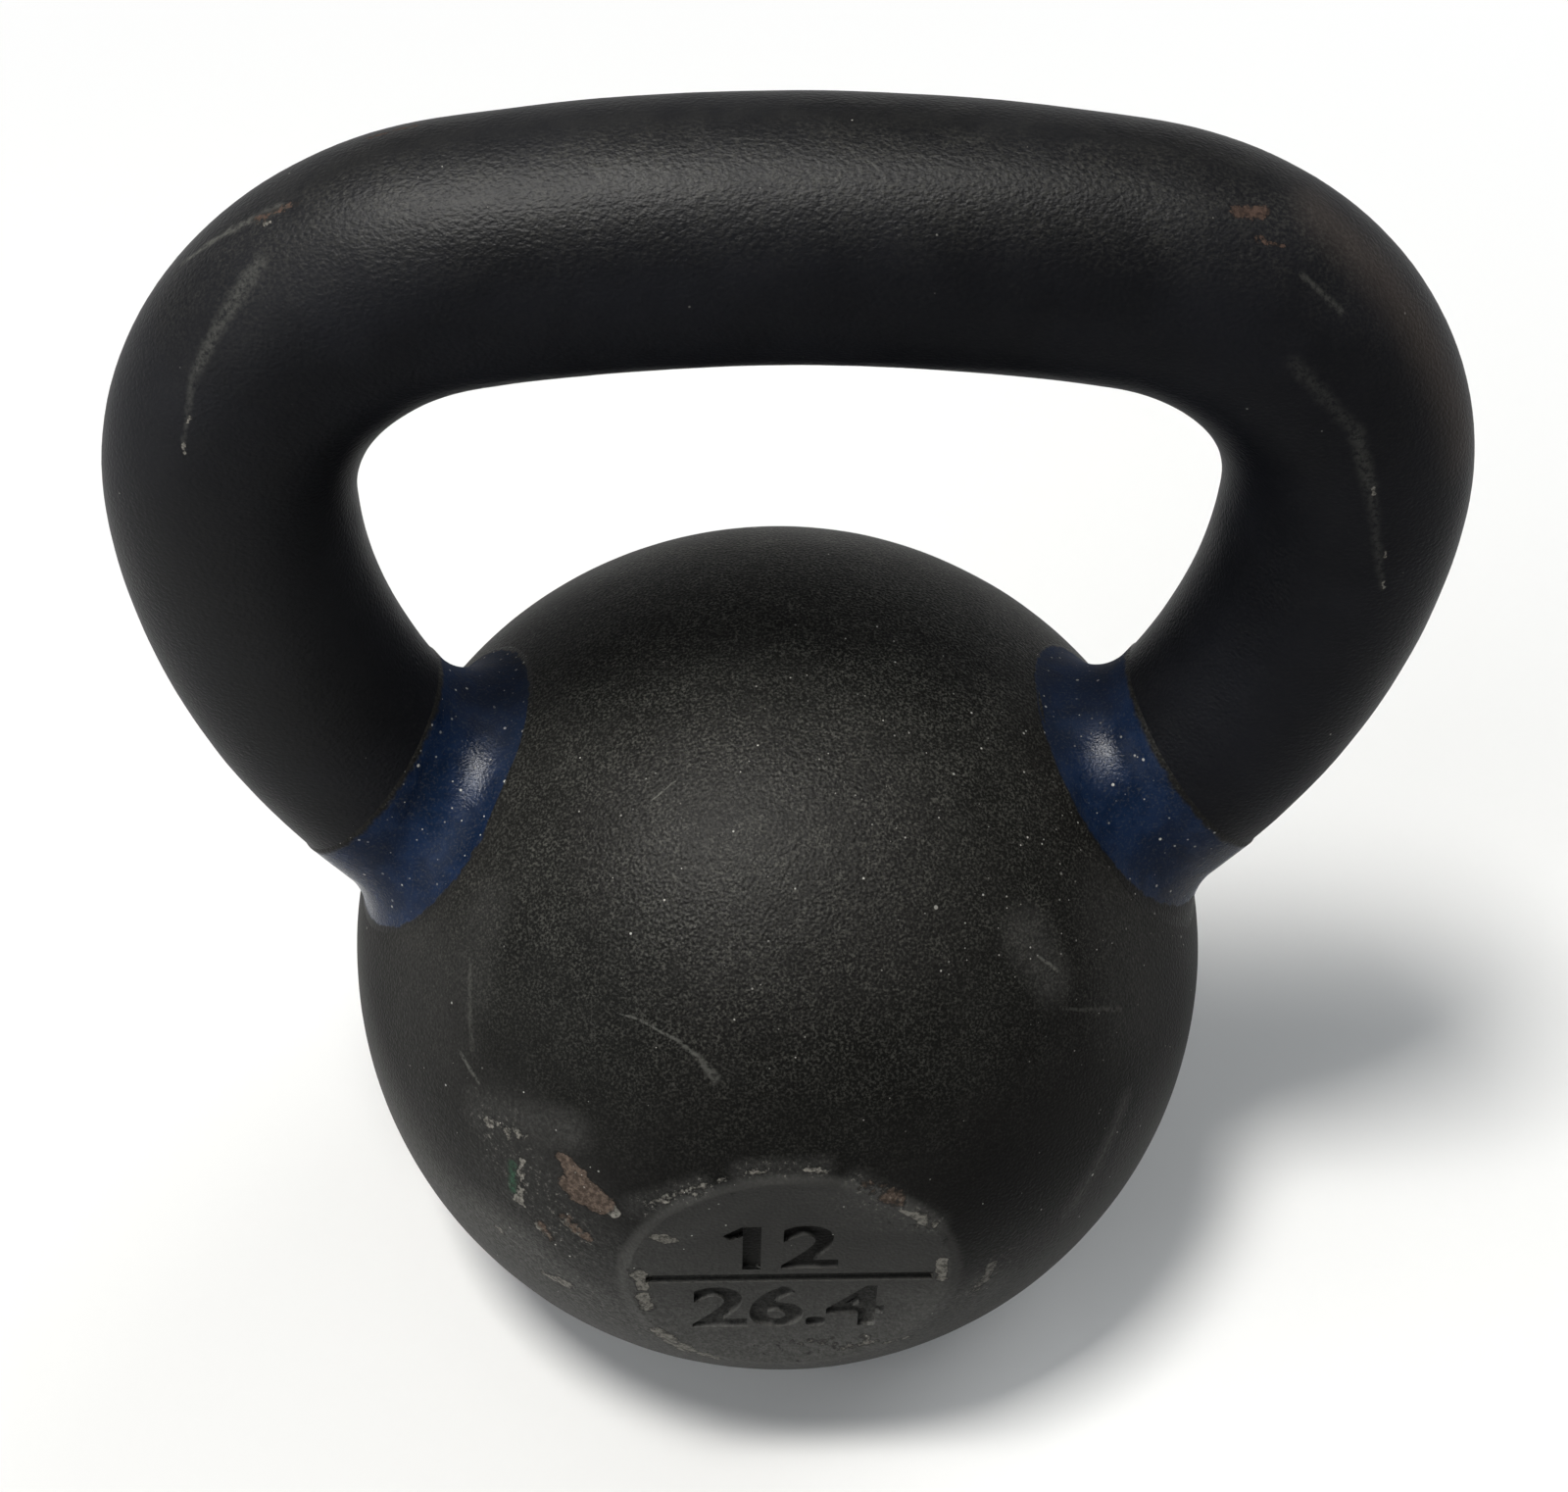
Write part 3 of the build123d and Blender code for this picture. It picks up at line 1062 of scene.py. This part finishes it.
def paint_wear(piece, sizes):
    """Paints how dense the wear and the dust are on the ball into attributes of its mesh; the dust
    on its lower side also stands for painted reflection of the pale floor.
    """
    mesh = piece.data
    radius = sizes.ball_radius
    places = numpy.empty(3 * len(mesh.vertices))
    mesh.vertices.foreach_get("co", places)
    offsets = places.reshape(-1, 3) - numpy.array((0, 0, sizes.ball_centre_height))
    ways = offsets / numpy.linalg.norm(offsets, axis=1)[:, None]
    rim_lean = math.acos(sizes.mark_flat_offset / radius)
    rim_gap = numpy.abs(numpy.arccos(numpy.clip(-ways[:, 1], -1, 1)) - rim_lean) * radius
    rim = numpy.clip(RIM_WEAR_REACH - rim_gap / RIM_WEAR_WIDTH, 0, 1)
    outside_mark = numpy.hypot(offsets[:, 0], offsets[:, 2]) > MARK_CLEAR_RADIUS
    # Dust low on the ball, which also paints the pale floor's reflection on its lower edges
    fall = numpy.clip((LOW_DUST_AND_FLOOR_LIGHT_TOP - ways[:, 2]) / LOW_DUST_AND_FLOOR_LIGHT_FADE, 0, 1)
    low = fall * fall * (3 - 2 * fall)
    chips = numpy.maximum(painted(ways, radius, BALL_CHIPS), RIM_CHIPS * rim)
    wear = {
        "bare_chips": chips * outside_mark,
        "rust_chips": painted(ways, radius, BALL_RUST),
        "dust_film_and_floor_light": painted(ways, radius, BALL_DUST) + RIM_DUST * rim + LOW_DUST_AND_FLOOR_LIGHT * low,
        "dust_specks": painted(ways, radius, BALL_SPECKS),
        "flecks": painted(ways, radius, BALL_FLECKS),
    }
    for name, density in wear.items():
        attribute = mesh.attributes.new(name, "FLOAT", "POINT")
        attribute.data.foreach_set("value", numpy.clip(density, 0, 1))


def read_wear(nodes, name):
    """How dense a painted wear is."""
    return nodes.add("Attribute", output="Fac", attribute_name=name)


class CoatNoises:
    """Noises that the ball's coat and the enamel over it share."""

    def __init__(self, nodes, place):
        self.clouds = nodes.noise(place, *BALL_CLOUDS)
        self.mottle = nodes.noise(place, *BALL_MOTTLE)
        self.grain = nodes.noise(place, *GRAIN)


def ball_coat_layers(nodes, place, noises, sizes, colours, dust):
    """Sandy powder coat with a share of old dust in its grain, more of it on the upper side,
    where its pale flecks also paint the light falling from above.
    """
    tone = nodes.tones(noises.clouds, 0.35, 0.68, colours.ball_coat, 0.70, 1.30)
    # Pale flecks grow with height on the ball: dust, and painted light from above
    low = sizes.ball_centre_height + DUST_AND_LIGHT_FROM * sizes.ball_radius
    high = sizes.ball_centre_height + DUST_AND_LIGHT_TO * sizes.ball_radius
    settled_dust_and_light = nodes.spread(nodes.axes(place)["Z"], low, high, DUST_AND_LIGHT_LEAST * dust, dust)
    patches = nodes.spread(noises.mottle, 0.32, 0.68, 0.55, 1.0)
    dusty = nodes.times(nodes.spread(noises.grain, 0.42, 0.76), patches)
    tone = nodes.mix(nodes.times(dusty, settled_dust_and_light), tone, opaque(colours.haze))
    roughness = nodes.spread(noises.clouds, 0.3, 0.7, *BALL_ROUGHNESS)
    sand = nodes.noise(place, *BALL_SAND)
    return Layers(nodes, tone, roughness, nodes.times(sand, SAND_HEIGHT))


def make_ball_coat(sizes, colours):
    """The ball's worn black powder coat."""
    material, nodes = new_material("ball_coat")
    place = nodes.add("TexCoord", output="Object")
    layers = ball_coat_layers(nodes, place, CoatNoises(nodes, place), sizes, colours, 1.0)
    surface = ball_surface(sizes)
    breaks = nodes.noise(place, *COAT_BREAKS)
    wavering = wavered(nodes, place, WEAR_WAVER, BALL_WAVER)

    # Dust film; on the lower side and edges it also paints the pale floor's reflection
    broken = nodes.spread(breaks, 0.32, 0.72, *FILM_COVER)
    film = nodes.times(read_wear(nodes, "dust_film_and_floor_light"), broken)
    layers.cover(film, opaque(colours.film), FILM_ROUGHNESS)
    flat_face = FLAT_FILM_DEPTH - sizes.mark_flat_offset
    fade = (flat_face + FLAT_FILM_FADE, flat_face, 0.0, FLAT_FILM_COVER)
    flat = nodes.spread(nodes.axes(place)["Y"], *fade)
    layers.cover(flat, opaque(colours.film), FLAT_FILM_ROUGHNESS)
    worn = nodes.spread(breaks, 0.34, 0.56)
    scuffs = strokes_mask(nodes, wavering, surface, BALL_SCUFFS, SCUFF_EDGE)
    layers.cover(nodes.times(scuffs, worn), opaque(colours.scuff), SCUFF_ROUGHNESS)
    patina = strokes_mask(nodes, wavering, surface, BALL_PATINA)
    layers.cover(nodes.times(patina, worn), opaque(colours.patina), PATINA_ROUGHNESS)

    edges = nodes.noise(place, *CHIP_EDGES)
    iron = nodes.tones(breaks, 0.36, 0.62, colours.bare_iron, 0.30)
    flat_chips = strokes_mask(nodes, wavering, surface, FLAT_CHIPS)
    chips = nodes.math("MAXIMUM", read_wear(nodes, "bare_chips"), flat_chips)
    layers.chip(chips, edges, iron, BALL_CHIP_ROUGHNESS)
    rust = nodes.tones(breaks, 0.38, 0.66, colours.rust, 0.40)
    layers.chip(read_wear(nodes, "rust_chips"), edges, rust, RUST_ROUGHNESS)

    flecks = nodes.times(nodes.spread(breaks, 0.58, 0.74), read_wear(nodes, "flecks"))
    layers.cover(flecks, opaque(colours.bare_iron), FLECK_ROUGHNESS)
    strewn = read_wear(nodes, "dust_specks")
    for cells, size, strewn_share, stray_share in BALL_SPECK_KINDS:
        share = nodes.plus(nodes.times(strewn, strewn_share), stray_share)
        layers.strew(specks(nodes, place, cells, size, share), colours.dust)
    layers.shader(BALL_SPECULAR)
    return material


# Wear on the handle: ends in millimetres along and degrees round, widths in millimetres, strength
HANDLE_RUST = (
    ((49.0, 31.0), (51.8, 27.0), 4.0, 4.0, 0.95),
    ((51.4, 39.5), (54.2, 38.0), 1.8, 2.0, 0.66),
    ((-49.5, -15.0), (-45.0, -17.0), 2.0, 1.8, 0.70),
    ((-60.5, 12.0), (-56.0, 15.5), 3.0, 3.0, 0.62),
)
HANDLE_CHIPS = (
    ((-59.5, 13.0), (-56.4, 15.0), 2.2, 2.4, 0.66),
    ((-60.0, 16.0), (-59.0, 18.0), 2.2, 2.2, 0.62),
    ((-81.4, 66.0), (-82.2, 67.0), 1.4, 1.4, 0.85),
    ((-78.6, 62.5), (-77.8, 61.5), 1.4, 1.4, 0.70),
    ((96.8, 83.0), (97.6, 83.0), 1.2, 1.2, 0.90),
    ((102.0, 81.0), (103.0, 80.0), 1.6, 1.2, 0.75),
    ((85.5, 86.0), (86.3, 86.0), 1.2, 1.2, 0.90),
)
HANDLE_SCUFFS = (
    ((-70.2, 4.0), (-57.8, 13.0), 1.2, 2.4, 0.70),
    ((-60.9, 34.0), (-73.0, 52.0), 4.2, 2.8, 0.38),
    ((-73.0, 52.0), (-81.0, 65.0), 2.2, 1.2, 0.28),
    ((57.2, 46.0), (63.3, 51.0), 1.4, 1.4, 0.34),
    ((61.5, 79.0), (75.5, 82.0), 3.4, 3.4, 0.18),
    ((75.5, 82.0), (85.4, 87.0), 3.4, 3.6, 0.30),
    ((85.4, 87.0), (103.0, 81.0), 2.8, 1.6, 0.22),
)
HANDLE_HAZE = (((58.0, 16.0), (88.0, 34.0), 13.0, 15.0, 0.17),)


def make_handle_coat(sizes, colours):
    """The handle's smoother black powder coat, with orange peel and rubbed lines."""
    material, nodes = new_material("handle_coat")
    place = nodes.add("TexCoord", output="Object")
    clouds = nodes.noise(place, *HANDLE_CLOUDS)
    mottle = nodes.noise(place, *HANDLE_MOTTLE)
    drawn = nodes.vector("MULTIPLY", place, PEEL_DRAW)
    peel = nodes.noise(drawn, *HANDLE_PEEL)
    grain = nodes.noise(drawn, *GRAIN)
    tone = nodes.tones(clouds, 0.35, 0.68, colours.handle_coat, 0.75, 1.25)

    # Pale flecks, more on the upper side and strongest where the bar faces the front: dust and
    # painted sheen
    facing = nodes.axes(nodes.add("NewGeometry", output="Normal"))
    upper = nodes.spread(facing["Z"], 0.25, 0.95, *UPPER_DUST_AND_SHEEN)
    patches = nodes.times(nodes.spread(mottle, 0.32, 0.68, 0.45, 1.0), upper)
    front = nodes.spread(facing["Y"], 0.10, -0.35)
    flecks = nodes.spread(grain, 0.38, 0.74, 0.05, 0.75)
    dusty = nodes.times(nodes.between(front, EVEN_DUST, flecks), patches)
    tone = nodes.mix(dusty, tone, opaque(colours.haze))
    # Pale film low on the left horn: dust, and painted light falling from the left
    where = nodes.axes(place)
    below_corner = nodes.spread(where["Z"], *LEFT_HORN_HEIGHTS, *LEFT_HORN_DUST_AND_LIGHT)
    left_side = nodes.spread(where["X"], *LEFT_HORN_SIDE)
    tone = nodes.mix(nodes.times(left_side, below_corner), tone, opaque(colours.film))
    roughness = nodes.spread(clouds, 0.3, 0.7, *HANDLE_ROUGHNESS)
    height = nodes.plus(nodes.times(peel, PEEL_HEIGHT), nodes.times(grain, GRAIN_HEIGHT))
    layers = Layers(nodes, tone, roughness, height)

    wavering = wavered(nodes, place, WEAR_WAVER, HANDLE_WAVER)
    surface = bar_surface(BarLine(sizes))
    breaks = nodes.noise(place, *COAT_BREAKS)
    haze = strokes_mask(nodes, wavering, surface, HANDLE_HAZE)
    layers.cover(haze, opaque(colours.rust), HAZE_ROUGHNESS)
    scuffs = strokes_mask(nodes, wavering, surface, HANDLE_SCUFFS)
    worn = nodes.times(scuffs, nodes.spread(breaks, 0.32, 0.62))
    layers.cover(worn, opaque(colours.scuff), SCUFF_ROUGHNESS)
    iron = nodes.tones(grain, 0.34, 0.62, colours.bare_iron, 0.28)
    chips = strokes_mask(nodes, wavering, surface, HANDLE_CHIPS)
    layers.chip(chips, breaks, iron, HANDLE_CHIP_ROUGHNESS)
    rust = nodes.tones(breaks, 0.38, 0.66, colours.handle_rust, 0.40)
    rust_chips = strokes_mask(nodes, wavering, surface, HANDLE_RUST)
    layers.chip(rust_chips, breaks, rust, RUST_ROUGHNESS)
    for kind in HANDLE_SPECK_KINDS:
        layers.strew(specks(nodes, place, *kind), colours.dust)
    layers.shader(HANDLE_SPECULAR)
    return material


def paint_mask(nodes, place, sizes):
    """One inside the painted rounds at the horns' roots, with slightly ragged edges."""
    ragged = wavered(nodes, place, PAINT_WAVER, PAINT_EDGE_WAVER)
    offset = nodes.vector("SUBTRACT", ragged, (0, 0, sizes.ball_centre_height))
    aside = nodes.vector("ABSOLUTE", offset)
    rise = nodes.measure("DOT_PRODUCT", aside, direction_at(sizes.lip_elevation))
    below = nodes.spread(rise, *(sizes.lip_distance + softness for softness in LIP_SOFTNESS))
    way = nodes.vector("NORMALIZE", offset)
    masks = []
    for side, elevation, opening in (
        (-1, sizes.left_foot_elevation, sizes.left_foot_spread),
        (1, sizes.right_foot_elevation, sizes.right_foot_spread),
    ):
        axis = (side * math.cos(elevation), 0, math.sin(elevation))
        lean = nodes.measure("DOT_PRODUCT", way, axis)
        edge = math.cos(opening)
        masks.append(nodes.spread(lean, edge - FOOT_SOFTNESS, edge + FOOT_SOFTNESS))
    return nodes.times(nodes.math("MAXIMUM", *masks), below)


def paint_over(layers, place, noises, sizes, colours):
    """Lays the bands' glossy enamel over a finish, duller off its front, with dust on it."""
    nodes = layers.nodes
    paint = paint_mask(nodes, place, sizes)
    shade = nodes.tones(noises.mottle, 0.35, 0.65, colours.enamel, 0.78, 1.22)
    dusty = nodes.times(nodes.spread(noises.grain, 0.50, 0.74), PAINT_DUST)
    shade = nodes.mix(dusty, shade, opaque(colours.haze))
    facing = nodes.axes(nodes.add("NewGeometry", output="Normal"))
    dull = nodes.times(nodes.spread(facing["Y"], -0.40, -0.10), ENAMEL_DULLING)
    gloss = nodes.spread(noises.mottle, 0.3, 0.7, *ENAMEL_ROUGHNESS)
    layers.cover(paint, shade, nodes.plus(gloss, dull))
    peel = nodes.times(nodes.noise(place, *ENAMEL_PEEL), ENAMEL_HEIGHT)
    layers.height = nodes.between(paint, layers.height, peel)


def make_enamel(sizes, colours):
    """Glossy enamel of the bands, with the coat outside its ragged edges."""
    material, nodes = new_material("band_enamel")
    place = nodes.add("TexCoord", output="Object")
    noises = CoatNoises(nodes, place)
    layers = ball_coat_layers(nodes, place, noises, sizes, colours, BAND_DUST_AND_LIGHT)
    paint_over(layers, place, noises, sizes, colours)
    for kind in ENAMEL_SPECK_KINDS:
        layers.strew(specks(nodes, place, *kind), colours.dust)
    layers.shader(ENAMEL_SPECULAR)
    return material


def make_floor_material(colours):
    """Pale floor that keeps the object's shadow and fades to white away from it.

    It throws less light up at the object than it shows.
    """
    material, nodes = new_material("pale_floor")
    place = nodes.add("TexCoord", output="Object")
    far = nodes.spread(nodes.measure("LENGTH", place), *SHADOW_FADE)
    matt = nodes.add("BsdfDiffuse", {"Color": opaque(colours.floor)})
    white = nodes.add("Emission", {"Color": WHITE, "Strength": 1.0})
    shown = nodes.add("MixShader", {0: far, 1: matt, 2: white})
    dim = nodes.add("BsdfDiffuse", {"Color": opaque(colours.floor_bounce)})
    surface = nodes.add("MixShader", {0: background_ray(nodes), 1: dim, 2: shown})
    nodes.add("OutputMaterial", {"Surface": surface})
    return material


def background_ray(nodes):
    """One for rays that should see the white background: camera, glossy and transmission rays."""
    camera = nodes.add("LightPath", output="Is Camera Ray")
    glossy = camera.node.outputs["Is Glossy Ray"]
    through = camera.node.outputs["Is Transmission Ray"]
    return nodes.math("MAXIMUM", nodes.math("MAXIMUM", camera, glossy), through)


def light_world():
    """Dim soft light from above, seen as white, and mirrored as white horizon and dark ceiling."""
    world = bpy.data.worlds.new("studio")
    world.use_nodes = True
    world.node_tree.nodes.clear()
    nodes = Nodes(world.node_tree)
    rise = nodes.axes(nodes.add("TexCoord", output="Generated"))["Z"]
    light = nodes.spread(rise, 0.1, 0.9, *SKY_LIGHT)
    mirrored_light = nodes.spread(rise, 0.05, 0.35, *MIRRORED_LIGHT)
    dim = nodes.add("Background", {"Color": SKY_TINT, "Strength": light})
    mirrored = nodes.add("Background", {"Color": WHITE, "Strength": mirrored_light})
    white = nodes.add("Background", {"Color": WHITE, "Strength": 1.0})
    surface = nodes.add("MixShader", {0: background_ray(nodes), 1: dim, 2: mirrored})
    camera = nodes.add("LightPath", output="Is Camera Ray")
    surface = nodes.add("MixShader", {0: camera, 1: surface, 2: white})
    nodes.add("OutputWorld", {"Surface": surface})
    bpy.context.scene.world = world


def add_softbox(target, name, direction, distance, width, depth, power, tint, switched_off):
    """A soft lamp that faces a target from a direction, and that some rays may not see."""
    towards = Vector(direction).normalized()
    bpy.ops.object.light_add(
        type="AREA",
        location=target + towards * distance,
        rotation=(-towards).to_track_quat("-Z", "Y").to_euler(),
    )
    lamp = bpy.context.object
    lamp.name = name
    lamp.data.shape = "RECTANGLE"
    lamp.data.size = width
    lamp.data.size_y = depth
    lamp.data.energy = power
    lamp.data.color = tint
    if switched_off:
        setattr(lamp, switched_off, False)


def place_camera(sizes, view):
    """Camera at the photograph's angle."""
    centre = Vector((0, 0, sizes.ball_centre_height))
    level = view.distance * math.cos(view.elevation)
    place = centre + Vector(
        (
            -level * math.sin(view.bearing),
            -level * math.cos(view.bearing),
            view.distance * math.sin(view.elevation),
        )
    )
    turn = (
        Matrix.Rotation(-view.bearing, 4, "Z")
        @ Matrix.Rotation(math.pi / 2 - view.pitch, 4, "X")
        @ Matrix.Rotation(view.roll, 4, "Z")
    )
    bpy.ops.object.camera_add(location=place, rotation=turn.to_euler())
    camera = bpy.context.object
    camera.data.sensor_width = SENSOR_WIDTH
    camera.data.lens = view.focal_pixels * SENSOR_WIDTH / PHOTO_WIDTH
    camera.data.clip_start = NEAREST_SIGHT
    bpy.context.scene.camera = camera


class KETTLEBELL_OT_add_handle(bpy.types.Operator):
    """Add the round bar handle with its corners and horns"""

    bl_idname = "kettlebell.add_handle"
    bl_label = "Add Handle"

    def execute(self, context):
        sizes = context.scene.kettlebell_sizes
        colours = context.scene.kettlebell_colours
        piece = model_handle(sizes, BarLine(sizes))
        finish_piece(piece, "handle", make_handle_coat(sizes, colours))
        return {"FINISHED"}


class KETTLEBELL_OT_add_ball(bpy.types.Operator):
    """Add the cast ball with its base, its front flat, the recessed mark and the horn sockets"""

    bl_idname = "kettlebell.add_ball"
    bl_label = "Add Ball"

    def execute(self, context):
        sizes = context.scene.kettlebell_sizes
        colours = context.scene.kettlebell_colours
        piece = model_ball(sizes, bpy.data.objects["bar_handle"])
        paint_wear(piece, sizes)
        finish_piece(piece, "ball", make_ball_coat(sizes, colours))
        return {"FINISHED"}


class KETTLEBELL_OT_add_colour_bands(bpy.types.Operator):
    """Add the two painted colour bands where the horns run into the ball"""

    bl_idname = "kettlebell.add_colour_bands"
    bl_label = "Add Colour Bands"

    def execute(self, context):
        sizes = context.scene.kettlebell_sizes
        colours = context.scene.kettlebell_colours
        enamel = make_enamel(sizes, colours)
        right = model_right_band(sizes, BarLine(sizes))
        left = mirror_band(right)
        finish_piece(right, "right_colour_band", enamel)
        finish_piece(left, "left_colour_band", enamel)
        return {"FINISHED"}


class KETTLEBELL_OT_set_stage(bpy.types.Operator):
    """Set up the pale floor, the soft lights and the photograph's camera"""

    bl_idname = "kettlebell.set_stage"
    bl_label = "Set Stage"

    def execute(self, context):
        scene = context.scene
        sizes = scene.kettlebell_sizes
        bpy.ops.object.select_all(action="DESELECT")
        bpy.ops.mesh.primitive_plane_add(size=FLOOR_WIDTH, location=(0, 0, -FLOOR_DROP))
        floor = context.object
        floor.name = "floor"
        settle()
        floor.data.materials.append(make_floor_material(scene.kettlebell_colours))
        target = Vector((0, 0, sizes.ball_centre_height))
        for lamp in LAMPS:
            add_softbox(target, *lamp)
        light_world()
        place_camera(sizes, scene.kettlebell_view)
        scene.view_settings.view_transform = "Standard"
        return {"FINISHED"}


OPERATORS = (
    KETTLEBELL_OT_add_handle,
    KETTLEBELL_OT_add_ball,
    KETTLEBELL_OT_add_colour_bands,
    KETTLEBELL_OT_set_stage,
)


class KETTLEBELL_PT_build(bpy.types.Panel):
    """Sidebar panel that lists the kettlebell's operators, sizes and colours"""

    bl_idname = "KETTLEBELL_PT_build"
    bl_label = "Kettlebell"
    bl_space_type = "VIEW_3D"
    bl_region_type = "UI"
    bl_category = "Kettlebell"

    def draw(self, context):
        for operator in OPERATORS:
            self.layout.operator(operator.bl_idname)
        for group_name in PROPERTY_GROUPS:
            group = getattr(context.scene, group_name)
            box = self.layout.box()
            for key in group.__annotations__:
                box.prop(group, key)


PROPERTY_GROUPS = {
    "kettlebell_sizes": KettlebellSizes,
    "kettlebell_colours": KettlebellColours,
    "kettlebell_view": KettlebellView,
}


def register():
    for name, group in PROPERTY_GROUPS.items():
        bpy.utils.register_class(group)
        setattr(bpy.types.Scene, name, bpy.props.PointerProperty(type=group))
    for operator in OPERATORS:
        bpy.utils.register_class(operator)
    bpy.utils.register_class(KETTLEBELL_PT_build)


def unregister():
    bpy.utils.unregister_class(KETTLEBELL_PT_build)
    for operator in reversed(OPERATORS):
        bpy.utils.unregister_class(operator)
    for name, group in reversed(PROPERTY_GROUPS.items()):
        delattr(bpy.types.Scene, name)
        bpy.utils.unregister_class(group)


def main():
    register()
    add_mark_group()
    bpy.ops.kettlebell.add_handle()
    bpy.ops.kettlebell.add_ball()
    bpy.ops.kettlebell.add_colour_bands()
    bpy.ops.kettlebell.set_stage()


if __name__ == "__main__":
    main()
